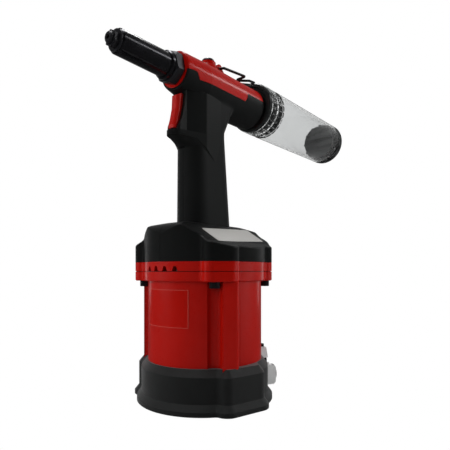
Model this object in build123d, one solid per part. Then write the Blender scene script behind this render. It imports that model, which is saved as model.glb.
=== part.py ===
from build123d import *
import math
import os

# Driving dimensions, in millimetres.
# The foot stands on z = 0 under the air cylinder's axis, the nose points along -X
# and the tool's left side is -Y. Angles round the stand are measured from the nose.

# Fits shared by the pieces
SEAT = 0.10            # gap between pieces that are pressed or laid together
RUN = 0.08             # radial running clearance of shafts and pistons
FREE = 0.40            # gap between pieces that only pass each other
SEAM = 0.20            # joint line that shows between two covers

# Heights of the stand
FLOOR_T = 4.0          # rubber under the cylinder
BOOT_TOP = 34.3
GASKET_T = 0.5
SEAM_Z = 109.0         # top of the gasket, where the body casting starts
FLANGE_LOW = SEAM_Z - 8.2      # underside of the cylinder's flange
SKIRT_LOW = SEAM_Z + 7.4       # top of the casting's flange, where the skirt starts
RIDGE_Z = SKIRT_LOW + 32.6     # flat top of the skirt round the handle
HEAD_Z = RIDGE_Z + 123.0       # the pulling axis

# Plan of the flange and the skirt: tabs are angle, reach, width and corner radius
BORE_R = 40.0          # of the air cylinder
WALL_R = BORE_R + 9.0
FLANGE_R = WALL_R + 3.6
BOLT_RING_R = WALL_R + 3.4
FRONT_TAB = (55.0, BOLT_RING_R + 7.4, 28.0, 7.0)
REAR_TAB = (134.0, BOLT_RING_R + 5.4, 27.0, 7.0)
FLANGE_HOLLOW = 4.5
FLANGE_EDGE = 0.8

# Air cylinder
RIB = (62.0, WALL_R + 5.4, 18.0, 3.0)
RIB_HOLLOW = 3.0
BASE_SEAT_R = BORE_R + 1.5
BASE_SEAT_Z = 14.1
BASE_PLATE_T = 6.0
STOP_RING_R = BORE_R - 7.0
STOP_RING_W = 4.0
CIRCLIP_T = 1.75
CIRCLIP_DEEP = 1.6
CIRCLIP_GAP = 16.0
BOLT_ANGLES = (-134.0, -50.0, 50.0, 134.0)
BOLT_R = 2.5
BOLT_HEAD_R = 4.25
BOLT_HEAD_H = 5.0
BOLT_KEY_AF = 4.0
BOLT_GRIP = 5.4        # thread length in the casting's flange
KEY_GROOVE_R = 6.2     # channel that lets a key reach a bolt from below

# Exhaust
NOTCH_COUNT = 4
NOTCH_PITCH = 10.6     # degrees
NOTCH_W = 5.0
NOTCH_H = 3.8
MUFFLER_R = (BORE_R + 1.5, BORE_R + 6.5)
MUFFLER_HALF_ANGLE = 33.0
MUFFLER_H = 4.6

# Rubber boot
BOOT_WALL = 5.7
BEAD_OUT = 3.8
BEAD_TOP = 3.8
BEAD_BLEND = 4.8
LIP_H = 5.5
LIP_IN = 4.4
BOOT_TAB = (76.0, WALL_R + 9.4, 42.0, 7.0)
BOOT_HOLLOW = 8.0
FOOT_ROUND = 0.5
TREAD_R = WALL_R - 5.0         # groove under the foot
TREAD_W = 5.0
TREAD_DEEP = 1.5

# Skirt
SKIRT_T = 2.6
RIDGE_HALF = 14.0
ROOF_KNEE = (FLANGE_R - 13.6, RIDGE_Z - 16.4)   # half width and height where the roof flattens
EAVE_SLOPE = 19.0
ROOF_ROUND = 14.0
SKIRT_FRONT_Z = RIDGE_Z - 4.4  # top of the skirt at its front edge
SKIRT_FRONT_ROUND = 9.0
SKIRT_EDGE = 1.6
SKIRT_RIM = 1.6        # round where its walls meet its roof
SKIRT_CROSS = 3.0      # round where its roof meets its front and rear
SPIGOT_H = 3.0         # ring on the casting that locates the skirt
SPIGOT_W = 2.4

# Handle: length, width and centre along X
HANDLE_LOW = (46.8, 31.7, -3.4)
HANDLE_HIGH = (41.4, 28.4, -6.0)
HANDLE_NOSE = 0.45     # radius of its front corners as a share of its width
HANDLE_HEEL = 8.5      # radius of its rear corners
HANDLE_END_Z = RIDGE_Z - 8.0   # lower end of the grip, under the skirt's roof
HANDLE_LOW_Z = RIDGE_Z - 2.0
HANDLE_WAIST_Z = HEAD_Z - 48.0
HANDLE_FLARE_Z = HEAD_Z - 42.0 # from here its rear leans out under the head
HANDLE_FLARE = 16.0    # how far, at its top
HANDLE_HIGH_Z = HEAD_Z - 10.0
GRIP_T = 2.9

# Finger collar under the trigger
COLLAR_FRONT = -42.6
COLLAR_TIP_R = 7.6
COLLAR_EDGE = 0.5      # height of its sharp lower edge
COLLAR_TIP = (HEAD_Z - 49.4, HEAD_Z - 52.5)   # top and underside of its front end
COLLAR_LIP = ((-24.1, HEAD_Z - 54.0), (-2.6, HEAD_Z - 71.5), (5.0, HEAD_Z - 78.0))  # lower edge, to its end
CHEEK = (-14.0, 15.3)  # widest place of the collar and the trigger's housing
CHEEK_R = 3.0
COLLAR_ROOT = (-28.6, HEAD_Z - 60.4)          # where its underside meets the handle

# Trigger housing on the front of the grip
HOUSING_W = 14.4
HOUSING_EDGE = 2.2
HOUSING_SHOULDER = -31.5       # where its sides start to widen towards the cheeks
HOUSING_FRONT = ((-31.2, HEAD_Z - 16.0), (-31.6, HEAD_Z - 21.0), (-32.9, HEAD_Z - 30.0),
                 (-35.4, HEAD_Z - 40.0), (-38.8, HEAD_Z - 47.0), (-39.0, HEAD_Z - 51.0))

# Head
PULL_BORE_R = 13.5     # of the pulling piston
HEAD_R = PULL_BORE_R + 5.5     # round of the head
HEAD_DROP = 3.7        # its centre lies this far under the pulling axis
HEAD_TOP = HEAD_R - HEAD_DROP  # from the pulling axis
HEAD_FRONT = -36.6
HEAD_REAR = 62.5
HEAD_TAPER = 24.6      # length of its front end, which narrows
HEAD_TIP = (0.6, 15.6) # its narrow end: centre under the pulling axis, and radius
HEAD_EDGE = 1.0
THROAT_R = 6.0         # hollow between the handle and the head
NECK_R = 14.2
NECK_FRONT = HEAD_FRONT - 0.4
NECK_L = 12.0
WINDOW_Z = (-2.8, -0.3)        # front and rear edge of the casting's open side, from the pulling axis
PANEL_Z = -8.2         # its deeper middle
PANEL_X = (-28.9, 36.5)
PANEL_STEP = 5.0
BOSS_X = 4.0
BOSS_R = 6.8
BOSS_TOP = HEAD_TOP + 5.2
BOSS_FLARE = 2.6       # its foot is wider by this, from as far under the head's top to as far above it
PLUG_R = 5.8
PLUG_STEM_R = 3.0
PLUG_STEM_L = 6.0
PLUG_RISE = 3.2

# Hanger
LUG_X = 16.5
LUG_T = 6.0
LUG_R = 4.0
LUG_SINK = 3.0
LUG_BACK = 9.0
HANGER_RISE = HEAD_TOP + 3.9   # its pivot above the pulling axis
HANGER_TILT = 6.5      # degrees, where it lies on the collector's ring
HANGER_R = 1.15
HANGER_HALF = 6.6
HANGER_REACH = 34.0    # from the pivot
HANGER_BEND = 2.4
EYE_REACH = 56.0
EYE_HALF = 3.3
EYE_SHIFT = 1.0        # the eye lies a little to the right

# Air piston and ram
RAM_R = 7.25
RAM_STUD_R = 5.0
RAM_TOP = SEAM_Z + 19.0
AIR_PISTON_Z = 16.2
AIR_PISTON_T = 15.0
AIR_PISTON_GAP = 0.35
NUT_POCKET_R = 10.5
NUT_POCKET_H = 8.0
STUD_NUT_AF = 15.0
STUD_NUT_H = 6.0
GLAND_R = 11.5
GLAND_T = 12.0
SEAL_W = 2.6
SEAL_DEEP = 2.4
PISTON_GROOVE = 3.4    # depth of the air piston's groove

# Pulling head
PULL_STROKE = 18.0
ROD_R = 6.0
CHAMBER_FRONT = -9.0
PISTON_X = CHAMBER_FRONT + 19.0
PISTON_L = 14.0
MANDREL_R = 2.3
TAIL_R = 4.0
TAIL_PRESS = 6.0
SPRING_R = (PULL_BORE_R - 4.1, PULL_BORE_R - 1.1)
ROD_SEAL_X = CHAMBER_FRONT - 5.5

# Nose
NOSE_FRONT = -93.5
NOSE_R_FRONT = 9.1
NOSE_R_REAR = 9.7
NOSE_COLLAR = (NECK_FRONT - 12.0, 11.2)
NOSE_BORE_R = 7.8
NOSE_THREAD_R = 9.0
NOSE_THREAD_END = NECK_FRONT + 15.0
NOSE_RIM = 0.8
NUT_AF = 23.4
NUT_TURN = -10.0      # degrees that its corners are turned from upright
NUT_T = 8.4
NUT_CHAMFER = 1.6
TIP_X = NOSE_FRONT - 7.5
TIP_R = 4.2
TIP_L = 2.4
TIP_HOLE_R = 1.65
TIP_HEX_AF = 10.8
TIP_HEX_L = 3.8
TIP_COLLAR_R = 8.0
TIP_THREAD_R = 6.0
TIP_THREAD_L = 6.0
COLLET_R = 7.4
COLLET_FRONT = NOSE_FRONT + 6.6
COLLET_REAR = NOSE_THREAD_END - PULL_STROKE - 11.0
COLLET_BORE_R = 5.6
COLLET_LIP = 2.0
JAW_FRONT_R = 3.2
JAW_L = 11.0
JAW_SPLIT = 0.6
JAW_HOLE_R = 1.3
ROD_FRONT = COLLET_FRONT + 25.4
PUSHER_L = 5.0
PUSHER_HOLE_R = 1.9
PUSHER_TAIL_R = 3.4

# Collector
COLLECTOR_R = 24.2
COLLECTOR_T = 1.5
RING_R = COLLECTOR_R - 0.7
RING_FRONT = HEAD_REAR + 4.5
RING_REAR = HEAD_REAR + 9.5
RING_NECK_R = PULL_BORE_R + 3.1
RING_LIP = 3.5         # wall round the hollow in its front
RING_HOLLOW = 3.0      # depth of that hollow
RING_EDGE = 1.0
PLUG_L = 8.0           # threaded end in the casting
SPIGOT_L = 21.5        # stub that the collector slides on
TAIL_END = RING_REAR + SPIGOT_L + 4.5   # rear end of the mandrel tube
COLLECTOR_REAR = RING_REAR + 149.0
SLOT_ROWS = 2
SLOT_FIRST = 2.4       # from the ring to the first row of slots
SLOT_COUNT = 24
SLOT_L = 7.8
SLOT_GAP = 2.4
SLOT_SHARE = 0.8       # open share of the ring at a row of slots
CAP_DEEP = 9.0
CAP_STUB_R = COLLECTOR_R - 4.7
CAP_RIBS = 12
CAP_RIB = (5.0, 3.0)   # length and width
CAP_RIM = 9.2
CAP_ROUND = 2.1
CAP_WALL = 2.5

# Trigger
TRIGGER_W = 8.4
TRIGGER_FRONT = ((-37.0, HEAD_Z - 20.6), (-37.6, HEAD_Z - 31.0), (-39.6, HEAD_Z - 40.0),
                 (-41.3, HEAD_Z - 45.5))
TRIGGER_FOOT_Z = HEAD_Z - 48.0
TRIGGER_BACK = -28.6
TRIGGER_ROUND = 2.6
TRIGGER_CROWN = 1.8    # slope at its top
TRIGGER_TRAVEL = 4.0
VALVE_Z = HEAD_Z - 36.0
VALVE_R = 2.0
VALVE_SLEEVE_R = 4.6
VALVE_SLEEVE_L = 13.0
VALVE_IN = 7.5         # stem inside the sleeve at rest
STEM_SOCKET = 5.0      # stem inside the trigger
TRIGGER_SPRING_R = (2.5, 3.6)
SPRING_POCKET = 5.0    # depth of the spring's seat in the sleeve

# Air inlet
INLET_ANGLE = 151.0
INLET_W = 19.0
INLET_REACH = WALL_R + 16.0
INLET_LOW = 6.4
INLET_SHOULDER = 23.5
INLET_TOP = 40.0
INLET_NECK = (WALL_R + 10.0, WALL_R + 7.0)
INLET_EDGE = 1.6
PORT_Z = 15.0
PORT_R = 5.7
PORT_DEEP = 11.0
PORT_RING_R = 7.6
PORT_RING_HOLE_R = 6.4
PORT_RING_T = 1.6
FEED_R = 2.6
FEED_X = WALL_R + 3.6
FEED_Z = 34.5
FEED_CAP_R = 4.4
FEED_CAP_T = 2.0
MANIFOLD_SCREW_R = 1.5
MANIFOLD_SCREW_HEAD_R = 2.8
MANIFOLD_SCREW_HEAD_H = 2.0
MANIFOLD_SCREW_HALF = 6.0
MANIFOLD_SCREW_Z = 28.5
MANIFOLD_SCREW_END = WALL_R - 5.5

# Grip screws: places in side view
GRIP_SCREWS = ((10.5, RIDGE_Z + 15.0), (10.5, RIDGE_Z + 51.0), (-16.5, RIDGE_Z + 37.0))
GRIP_SCREW_SEAT = 9.4  # under their heads, from the middle
GRIP_BOSS_R = 4.6
GRIP_BOSS_Y = 7.0      # inner end of the bosses, from the middle
GRIP_SCREW_R = 1.5
GRIP_SCREW_HEAD_R = 2.9
GRIP_SCREW_HEAD_H = 2.2
GRIP_SCREW_BITE = 2.4

# Blank labels: clear film on the cylinder, and a white one on the skirt's roof
FILM_T = 0.25
FILM_Z = (SEAM_Z - 44.0, SEAM_Z - 14.6)
FILM_ANGLES = (-27.0, 27.0)
LABEL_SIZE = (67.0, 16.8)
LABEL_PLACE = (4.2, -29.3)
LABEL_TURN = 4.5       # degrees
LABEL_CORNER = 1.0

MIN_Z = (Align.CENTER, Align.CENTER, Align.MIN)


def round_the_stand(angle):
    """Turn from the +X direction to an angle measured from the nose."""
    return Rot(0, 0, 180 + angle)


def disc(z, radius, height):
    return Pos(0, 0, z) * Cylinder(radius, height, align=MIN_Z)


def ring(z, outer, inner, height):
    return disc(z, outer, height) - disc(z, inner, height)


def lying(radius, length):
    """Round bar along +X from the origin."""
    return Rot(0, 90, 0) * Cylinder(radius, length, align=MIN_Z)


def bar(x, radius, length):
    """Round bar on the pulling axis that starts at x and runs to the rear."""
    return Pos(x, 0, HEAD_Z) * lying(radius, length)


def tube(x, outer, inner, length):
    return bar(x, outer, length) - bar(x, inner, length)


def turned(points):
    """Solid of revolution about the pulling axis from (x, radius) points."""
    face = make_face(Polyline(*points, close=True))
    return Pos(0, 0, HEAD_Z) * revolve(face, Axis.X)


def across(points, half_width):
    """Prism across Y from an outline in side view."""
    face = make_face(Polyline(*[(x, 0, z) for x, z in points], close=True))
    return extrude(face, half_width, dir=(0, 1, 0), both=True)


def block(low, high):
    """Box between two corners."""
    size = [b - a for a, b in zip(low, high)]
    return Pos(*low) * Box(*size, align=(Align.MIN, Align.MIN, Align.MIN))


def lobed(radius, tabs, hollow):
    """Round plan with tabs on both sides and hollows where they leave it."""
    outline = round_the_stand(tabs[0][0]) * Circle(radius)
    for angle, reach, width, corner in tabs:
        for side in (-1, 1):
            tab = Pos(reach / 2, 0) * RectangleRounded(reach, width, corner)
            outline += round_the_stand(side * angle) * tab
    return offset(offset(outline, hollow), -hollow)


def flange_plan():
    return lobed(FLANGE_R, (FRONT_TAB, REAR_TAB), FLANGE_HOLLOW)


def cylinder_plan():
    outline = lobed(WALL_R, (RIB,), RIB_HOLLOW)
    for angle in BOLT_ANGLES:
        outline -= round_the_stand(angle) * Pos(BOLT_RING_R, 0) * Circle(KEY_GROOVE_R)
    return outline


def boot_plan():
    return lobed(WALL_R + BOOT_WALL, (BOOT_TAB,), BOOT_HOLLOW)


def slab(plan, low, high, taper=0.0):
    """Plan pulled up from one height to another."""
    return Pos(0, 0, low) * extrude(plan, high - low, taper=taper)


def bolt_places():
    return [round_the_stand(angle) * Pos(BOLT_RING_R, 0, 0) for angle in BOLT_ANGLES]


# Stand

def rubber_boot():
    plan = boot_plan()
    bead = offset(plan, BEAD_OUT)
    bead_taper = math.degrees(math.atan2(BEAD_OUT, BEAD_BLEND))
    lip_taper = math.degrees(math.atan2(LIP_IN, LIP_H))
    foot = slab(bead, 0, BEAD_TOP)
    foot = chamfer(foot.faces().sort_by(Axis.Z)[0].edges(), FOOT_ROUND)
    boot = foot + slab(bead, BEAD_TOP, BEAD_TOP + BEAD_BLEND, bead_taper)
    boot += slab(plan, 0, BOOT_TOP - LIP_H)
    boot += slab(plan, BOOT_TOP - LIP_H, BOOT_TOP, lip_taper)
    boot -= slab(offset(cylinder_plan(), SEAT), FLOOR_T, BOOT_TOP + 1)
    boot -= ring(0, TREAD_R, TREAD_R - TREAD_W, TREAD_DEEP)
    return boot - inlet_room(FREE)


def air_cylinder():
    solid = slab(cylinder_plan(), FLOOR_T + SEAT, FLANGE_LOW)
    flange = slab(flange_plan(), FLANGE_LOW, SEAM_Z - GASKET_T)
    flange = chamfer(flange.faces().sort_by(Axis.Z)[0].edges(), FLANGE_EDGE)
    solid += flange
    solid -= disc(0, BORE_R, SEAM_Z)
    solid -= disc(0, BASE_SEAT_R, BASE_SEAT_Z)
    clip_z = BASE_SEAT_Z - BASE_PLATE_T - CIRCLIP_T - 2 * SEAT
    solid -= disc(clip_z, BASE_SEAT_R + CIRCLIP_DEEP, CIRCLIP_T + 2 * SEAT)
    for place in bolt_places():
        solid -= place * disc(0, BOLT_R + SEAT, SEAM_Z)
    for hole in manifold_screw_bars(MANIFOLD_SCREW_R + SEAT, 0):
        solid -= hole
    return solid - feed_cross()


def cylinder_base():
    low = BASE_SEAT_Z - BASE_PLATE_T - SEAT
    plate = disc(low, BASE_SEAT_R - SEAT, BASE_PLATE_T)
    plate += ring(low, STOP_RING_R, STOP_RING_R - STOP_RING_W, AIR_PISTON_Z - SEAT - low)
    middle = low + BASE_PLATE_T / 2
    return plate - ring(middle - SEAL_W / 2, BASE_SEAT_R, BASE_SEAT_R - SEAL_DEEP, SEAL_W)


def base_o_ring():
    middle = BASE_SEAT_Z - SEAT - BASE_PLATE_T / 2
    thick = SEAL_DEEP / 2 - SEAT
    return Pos(0, 0, middle) * Torus(BASE_SEAT_R - SEAT - thick, thick)


def base_circlip():
    low = BASE_SEAT_Z - BASE_PLATE_T - CIRCLIP_T - SEAT * 1.5
    outer = BASE_SEAT_R + CIRCLIP_DEEP - SEAT
    clip = ring(low, outer, BASE_SEAT_R - CIRCLIP_DEEP, CIRCLIP_T)
    return clip - block((0, -CIRCLIP_GAP / 2, low), (outer + 1, CIRCLIP_GAP / 2, low + CIRCLIP_T))


def flange_gasket():
    plan = offset(flange_plan(), -FLANGE_EDGE) - Circle(BORE_R + SEAT)
    gasket = slab(plan, SEAM_Z - GASKET_T, SEAM_Z)
    for place in bolt_places():
        gasket -= place * disc(0, BOLT_R + SEAT, SEAM_Z + 1)
    return gasket


def flange_bolts():
    bolt = disc(FLANGE_LOW - BOLT_HEAD_H, BOLT_HEAD_R, BOLT_HEAD_H)
    bolt = chamfer(bolt.edges().group_by(Axis.Z)[0], BOLT_HEAD_H / 12)
    bolt += disc(FLANGE_LOW, BOLT_R, SEAM_Z - FLANGE_LOW + BOLT_GRIP)
    socket = RegularPolygon(BOLT_KEY_AF / math.sqrt(3), 6)
    bolt -= slab(socket, FLANGE_LOW - BOLT_HEAD_H, FLANGE_LOW - BOLT_HEAD_H / 2)
    return Compound([place * bolt for place in bolt_places()])


def muffler_felt():
    felt = ring(SEAM_Z + SEAT, MUFFLER_R[1] - SEAT, MUFFLER_R[0] + SEAT, MUFFLER_H - 2 * SEAT)
    return felt & front_sector(MUFFLER_HALF_ANGLE - 1)


def front_sector(half_angle):
    """Wedge about the nose side, as tall as the stand."""
    reach = 2 * FLANGE_R
    side = reach * math.tan(math.radians(half_angle))
    wedge = make_face(Polyline((0, 0), (-reach, side), (-reach, -side), close=True))
    return extrude(wedge, HEAD_Z)


# Air piston and ram

def air_piston():
    piston = disc(AIR_PISTON_Z, BORE_R - AIR_PISTON_GAP, AIR_PISTON_T)
    middle = AIR_PISTON_Z + AIR_PISTON_T / 2
    piston -= ring(middle - SEAL_W / 2, BORE_R, BORE_R - PISTON_GROOVE, SEAL_W)
    piston -= disc(AIR_PISTON_Z, NUT_POCKET_R, NUT_POCKET_H)
    return piston - disc(AIR_PISTON_Z, RAM_STUD_R + SEAT, AIR_PISTON_T)


def air_piston_seal():
    middle = AIR_PISTON_Z + AIR_PISTON_T / 2
    return ring(middle - SEAL_W / 2 + SEAT, BORE_R - RUN, BORE_R - PISTON_GROOVE + SEAT, SEAL_W - 2 * SEAT)


def ram_rod():
    shoulder = AIR_PISTON_Z + AIR_PISTON_T
    rod = disc(shoulder, RAM_R, RAM_TOP - shoulder)
    rod = chamfer(rod.edges().group_by(Axis.Z)[-1], RAM_R / 8)
    stud_low = AIR_PISTON_Z + NUT_POCKET_H - STUD_NUT_H - SEAT
    return rod + disc(stud_low, RAM_STUD_R, shoulder - stud_low)


def stud_nut():
    top = AIR_PISTON_Z + NUT_POCKET_H
    nut = slab(RegularPolygon(STUD_NUT_AF / math.sqrt(3), 6), top - STUD_NUT_H, top)
    return nut - disc(0, RAM_STUD_R + SEAT, HEAD_Z)


def ram_gland():
    return ring(SEAM_Z + SEAT, GLAND_R - SEAT, RAM_R + RUN, GLAND_T - SEAT)


def ram_seal():
    low = SEAM_Z + GLAND_T
    return ring(low + SEAT, GLAND_R - SEAT, RAM_R + RUN, SEAL_W - 2 * SEAT)


# Body casting

def handle_section(size, z, inset):
    """Round at the front, flat at the sides; drawn in by an inset."""
    length, width, centre = size
    plan = Rectangle(length - 2 * inset, width - 2 * inset)
    plan = fillet(plan.vertices().group_by(Axis.X)[0], HANDLE_NOSE * width - inset)
    plan = fillet(plan.vertices().group_by(Axis.X)[-1], HANDLE_HEEL - inset)
    return Pos(centre, 0, z) * plan


def handle_column(inset, low, high):
    """Tapering handle between two heights, drawn in by an inset."""
    column = loft([handle_section(HANDLE_LOW, HANDLE_LOW_Z, inset),
                   handle_section(HANDLE_HIGH, HANDLE_WAIST_Z, inset)])
    column += slab(handle_section(HANDLE_HIGH, 0, inset), HANDLE_WAIST_Z, HANDLE_FLARE_Z)
    length, width, centre = HANDLE_HIGH
    top = (length + HANDLE_FLARE, width, centre + HANDLE_FLARE / 2)
    column += loft([handle_section(HANDLE_HIGH, HANDLE_FLARE_Z, inset),
                    handle_section(top, HANDLE_HIGH_Z, inset)])
    reach = 2 * FLANGE_R
    return column & block((-reach, -reach, low), (reach, reach, high))


def head_ring(x, drop, radius):
    """Circle across the head."""
    return Plane((x, 0, HEAD_Z - drop), z_dir=(1, 0, 0)) * Circle(radius)


def head_barrel(inset):
    """The head behind its tapered front, drawn in by an inset."""
    start = HEAD_FRONT + HEAD_TAPER
    return extrude(head_ring(start, HEAD_DROP, HEAD_R - inset), HEAD_REAR - start)


def head_front(inset):
    """The head's tapered front, drawn in by an inset."""
    drop, radius = HEAD_TIP
    small = head_ring(HEAD_FRONT + inset, drop, radius - inset)
    large = head_ring(HEAD_FRONT + HEAD_TAPER, HEAD_DROP, HEAD_R - inset)
    return loft([small, large], ruled=True)


def head_edged():
    """The head's outside with its front edge rounded."""
    front = head_front(0)
    edge = front.edges().sort_by(Axis.X)[:1]
    return head_barrel(0) + fillet(edge, HEAD_EDGE)


def neck(gap):
    """Round of the casting that the nose screws into."""
    return bar(NECK_FRONT, NECK_R + gap, NECK_L + gap)


def window(gap):
    """Space above the grip's upper edge, where the casting shows."""
    fore, aft = [HEAD_Z + z + gap for z in WINDOW_Z]
    deep = HEAD_Z + PANEL_Z + gap
    front = PANEL_X[0] + gap
    rear = PANEL_X[1] - gap
    outline = [(-2 * HEAD_REAR, fore), (front, fore), (front + PANEL_STEP / 3, deep + PANEL_STEP),
               (front + PANEL_STEP, deep), (rear - PANEL_STEP / 2, deep), (rear, deep + PANEL_STEP / 2),
               (rear + PANEL_STEP / 4, aft), (2 * HEAD_REAR, aft),
               (2 * HEAD_REAR, HEAD_Z + 2 * HEAD_R), (-2 * HEAD_REAR, HEAD_Z + 2 * HEAD_R)]
    return across(outline, 2 * HEAD_R)


def lug_solid():
    top = HEAD_Z + HANGER_RISE
    base = HEAD_Z + HEAD_TOP - LUG_SINK
    front = LUG_X - LUG_R
    rear = LUG_X + LUG_R
    outline = [(front, base), (front, top), (rear, top), (rear + LUG_BACK, base)]
    lug = across(outline, LUG_T / 2)
    lug += Pos(LUG_X, 0, top) * Rot(90, 0, 0) * Cylinder(LUG_R, LUG_T)
    return lug - Pos(LUG_X, 0, top) * Rot(90, 0, 0) * Cylinder(HANGER_R + SEAT, 2 * LUG_T)


def exhaust_notches():
    """Openings with an arched top on the seam, evenly spaced across the front."""
    reach = FLANGE_R + 1
    half = NOTCH_W / 2
    arch = make_face(Polyline((-half, 0), (half, 0), (half / 2, NOTCH_H), (-half / 2, NOTCH_H), close=True))
    notch = extrude(Plane.YZ * arch, reach - MUFFLER_R[0] - 1)
    notches = []
    for index in range(NOTCH_COUNT):
        angle = (index - (NOTCH_COUNT - 1) / 2) * NOTCH_PITCH
        notches.append(round_the_stand(angle) * Pos(MUFFLER_R[0] + 1, 0, SEAM_Z) * notch)
    return notches


def body_outside():
    flange = slab(flange_plan(), SEAM_Z, SKIRT_LOW)
    spigot_plan = offset(flange_plan(), -SKIRT_T - SEAM)
    flange += slab(spigot_plan, SKIRT_LOW, SKIRT_LOW + SPIGOT_H)
    flange -= slab(offset(spigot_plan, -SPIGOT_W), SKIRT_LOW, HEAD_Z)
    inside = GRIP_T + SEAT
    body = flange + slab(handle_section(HANDLE_LOW, 0, inside), SEAM_Z, HANDLE_LOW_Z)
    body += handle_column(inside, HANDLE_LOW_Z, HANDLE_HIGH_Z)
    body += head_barrel(inside) + head_front(inside)
    body += head_edged() & window(0)
    body += neck(0)
    boss = Pos(BOSS_X, 0, HEAD_Z) * Cylinder(BOSS_R, BOSS_TOP, align=MIN_Z)
    flare = Cone(BOSS_R + BOSS_FLARE, BOSS_R, 2 * BOSS_FLARE, align=MIN_Z)
    boss += Pos(BOSS_X, 0, HEAD_Z + HEAD_TOP - BOSS_FLARE) * flare
    return body + boss + lug_solid()


def body_casting():
    body = body_outside()
    body -= bar(CHAMBER_FRONT, PULL_BORE_R, HEAD_REAR - CHAMBER_FRONT + 1)
    body -= bar(NECK_FRONT, ROD_R + RUN, CHAMBER_FRONT - NECK_FRONT + 1)
    body -= bar(NECK_FRONT, NOSE_THREAD_R + SEAT, NOSE_THREAD_END - NECK_FRONT + SEAT)
    body -= bar(ROD_SEAL_X, ROD_R + SEAL_DEEP, SEAL_W)
    body -= disc(SEAM_Z, RAM_R + FREE, HEAD_Z - SEAM_Z)
    body -= disc(SEAM_Z, GLAND_R, GLAND_T + SEAL_W)
    body -= Pos(BOSS_X, 0, HEAD_Z) * Cylinder(PLUG_STEM_R + SEAT, BOSS_TOP, align=MIN_Z)
    body -= trigger_room(FREE)
    body -= valve_hole()
    for place in bolt_places():
        body -= place * disc(SEAM_Z, BOLT_R + SEAT, BOLT_GRIP + FREE)
    for x, z in GRIP_SCREWS:
        body -= screw_bar(x, z, GRIP_SCREW_R + FREE, -HEAD_R, HEAD_R)
    for boss in grip_bosses(FREE):
        body -= boss
    body -= ring(SEAM_Z, MUFFLER_R[1], MUFFLER_R[0], MUFFLER_H) & front_sector(MUFFLER_HALF_ANGLE)
    for notch in exhaust_notches():
        body -= notch
    return body


def oil_plug():
    top = HEAD_Z + BOSS_TOP
    head = disc(top + SEAT, PLUG_R, PLUG_RISE)
    head = fillet(head.edges().group_by(Axis.Z)[-1], PLUG_RISE * 0.8)
    head += disc(top - PLUG_STEM_L, PLUG_STEM_R, PLUG_STEM_L + SEAT)
    return Pos(BOSS_X, 0, 0) * head


# Grip and skirt

def fore_plan(front, cheek_y):
    """Plan of a front end that runs back over two cheeks to the handle's sides."""
    edges = front.edges() + handle_section(HANDLE_HIGH, 0, 0).edges()
    for y in (-cheek_y, cheek_y):
        edges += (Pos(CHEEK[0], y, 0) * Circle(CHEEK_R)).edges()
    return make_hull(edges)


def collar_plan(front, cheek_y):
    return fore_plan(Pos(front + COLLAR_TIP_R, 0, 0) * Circle(COLLAR_TIP_R), cheek_y)


def finger_collar():
    top, under = COLLAR_TIP
    rear = COLLAR_LIP[-1][0]
    outline = [(COLLAR_FRONT, under - COLLAR_EDGE), (COLLAR_FRONT, top), (rear, top), *reversed(COLLAR_LIP)]
    plan = collar_plan(COLLAR_FRONT, CHEEK[1] - CHEEK_R)
    collar = slab(plan, HANDLE_LOW_Z, HEAD_Z) & across(outline, HANDLE_LOW[1])
    root_x, root_z = COLLAR_ROOT
    root = collar_plan(root_x, HANDLE_HIGH[1] / 2 - CHEEK_R)
    return collar + loft([Pos(0, 0, root_z) * root, Pos(0, 0, under) * plan], ruled=True)


def trigger_housing():
    rear = COLLAR_LIP[-1][0]
    outline = [*HOUSING_FRONT, *COLLAR_LIP, (rear, HOUSING_FRONT[0][1])]
    plan = fore_plan(housing_tongue(HOUSING_SHOULDER), CHEEK[1] - CHEEK_R)
    plan += housing_tongue(HOUSING_FRONT[-1][0])
    return slab(plan, HANDLE_LOW_Z, HEAD_Z) & across(outline, HANDLE_LOW[1])


def housing_tongue(front):
    """Plan of the two walls beside the trigger."""
    length = COLLAR_LIP[-1][0] - front
    return Pos(front + length / 2, 0, 0) * RectangleRounded(length, HOUSING_W, HOUSING_EDGE)


def grip_outside():
    grip = handle_column(0, HANDLE_LOW_Z, HEAD_Z - HEAD_DROP) + head_barrel(0)
    grip = fillet(throat_edges(grip), THROAT_R)
    grip += slab(handle_section(HANDLE_LOW, 0, 0), HANDLE_END_Z, HANDLE_LOW_Z)
    return grip + head_edged() + finger_collar() + trigger_housing()


def throat_edges(grip):
    """Where the handle runs into the head behind its tapered front."""
    edges = grip.edges().filter_by(lambda e: e.bounding_box().max.Z < HEAD_Z - HEAD_DROP)
    edges = edges.filter_by(lambda e: e.bounding_box().min.Z > HEAD_Z - HEAD_DROP - HEAD_R - 1)
    return edges.filter_by(lambda e: e.center().X > HEAD_FRONT + HEAD_TAPER + SEAM)


def grip():
    inside = GRIP_T
    solid = grip_outside() - window(-SEAM)
    core = handle_column(inside, HANDLE_LOW_Z, HANDLE_HIGH_Z)
    for boss in grip_bosses(0):
        core -= boss
    solid -= core
    solid -= slab(handle_section(HANDLE_LOW, 0, inside), HANDLE_END_Z, HANDLE_LOW_Z)
    solid -= head_barrel(inside) + head_front(inside)
    solid -= neck(SEAT)
    solid -= trigger_room(FREE)
    solid -= valve_hole()
    for x, z in GRIP_SCREWS:
        end = GRIP_SCREW_SEAT + GRIP_SCREW_BITE + SEAT
        solid -= screw_bar(x, z, GRIP_SCREW_R + SEAT, -end, GRIP_SCREW_SEAT)
        solid -= screw_bar(x, z, GRIP_SCREW_HEAD_R + SEAT, GRIP_SCREW_SEAT, 2 * HEAD_R)
    return solid


def screw_bar(x, z, radius, low, high):
    """Round bar across the grip."""
    return Pos(x, (low + high) / 2, z) * Rot(90, 0, 0) * Cylinder(radius, high - low)


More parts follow.
